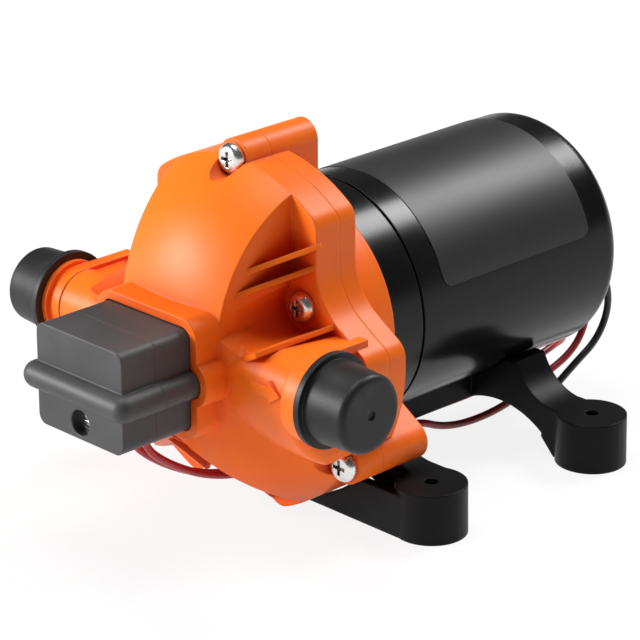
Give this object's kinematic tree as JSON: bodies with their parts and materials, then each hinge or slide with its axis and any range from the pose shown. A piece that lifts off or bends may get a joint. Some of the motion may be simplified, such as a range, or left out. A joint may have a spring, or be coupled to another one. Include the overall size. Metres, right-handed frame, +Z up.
{
  "type": "diaphragm water pump",
  "caption": "Low-voltage diaphragm water pump: horizontal motor on a footed bracket, lobed pump head with side ports, rubber port caps and a box-shaped pressure switch.",
  "frame": {"origin": "centre of the four foot holes, in the plane that the feet stand on", "axes": "+Z up, away from the mounting surface; +Y along the motor shaft from the pump head to the motor's rear; +X towards the outlet port"},
  "size_m": [0.152, 0.2318, 0.1194],
  "materials": {
    "orange_plastic": "satin moulded",
    "black_plastic": "fine grain",
    "switch_plastic": "fine grain",
    "motor_black": "gloss black",
    "cap_rubber": "satin",
    "seal_rubber": "matt",
    "screw_steel": "plated",
    "steel": "ground",
    "bearing_steel": "polished",
    "magnet": "sintered",
    "lamination": "stamped",
    "copper": "enamelled",
    "carbon": "matt",
    "white_plastic": "matt",
    "brass_part": "turned",
    "label": "matt film",
    "red_wire": "satin",
    "black_wire": "satin",
    "tin": "tinned"
  },
  "bodies": {
    "pump": {"base_bracket": "black_plastic", "bracket_screws": "screw_steel", "brush_holder": "white_plastic", "brush_springs": "steel", "brushes": "carbon", "cam_bearing": "bearing_steel", "diaphragm": "seal_rubber", "drive_housing": "orange_plastic", "front_bearing": "bearing_steel", "housing_screws": "screw_steel", "housing_seal": "seal_rubber", "inlet_valves": "seal_rubber", "lead_grommets": "seal_rubber", "lead_tips": "tin", "link_lead": "red_wire", "microswitch": "switch_plastic", "motor_can": "motor_black", "motor_front_bell": "motor_black", "motor_magnets": "magnet", "motor_screws": "screw_steel", "outlet_valve": "seal_rubber", "piston_screws": "screw_steel", "pistons": "white_plastic", "rating_label": "label", "rear_bearing": "bearing_steel", "supply_lead_black": "black_wire", "supply_lead_red": "red_wire", "switch_base": "switch_plastic", "switch_cover": "switch_plastic", "switch_diaphragm": "seal_rubber", "switch_spring": "steel", "upper_housing": "orange_plastic", "valve_plate": "white_plastic", "wobble_plate": "white_plastic"},
    "rotor": {"motor_shaft": "steel", "armature_core": "lamination", "armature_winding": "copper", "commutator": "copper", "eccentric_cam": "steel"},
    "outlet_cap": {"outlet_cap": "cap_rubber"},
    "inlet_cap": {"inlet_cap": "cap_rubber"},
    "switch_plunger": {"switch_plunger": "white_plastic"},
    "adjust_screw": {"adjust_screw": "brass_part"}
  },
  "joints": [
    {"name": "rotor_spin", "type": "hinge", "parent": "pump", "child": "rotor", "pos_m": [0, 0, 0.0562], "axis": [0, 1, 0], "continuous": true},
    {"name": "outlet_cap_pull", "type": "slide", "parent": "pump", "child": "outlet_cap", "axis": [1, 0, 0], "range_m": [0, 0.022]},
    {"name": "inlet_cap_pull", "type": "slide", "parent": "pump", "child": "inlet_cap", "axis": [-1, 0, 0], "range_m": [0, 0.022]},
    {"name": "switch_plunger_press", "type": "slide", "parent": "pump", "child": "switch_plunger", "axis": [0, -1, 0], "range_m": [0, 0.0012], "stiffness_N_per_m": 400, "springref_m": -0.001, "deforming": ["switch_spring"]},
    {"name": "adjust_screw_turn", "type": "hinge", "parent": "pump", "child": "adjust_screw", "pos_m": [0, -0.1239, 0.0447], "axis": [0, 1, 0], "range_deg": [-720, 720]}
  ]
}
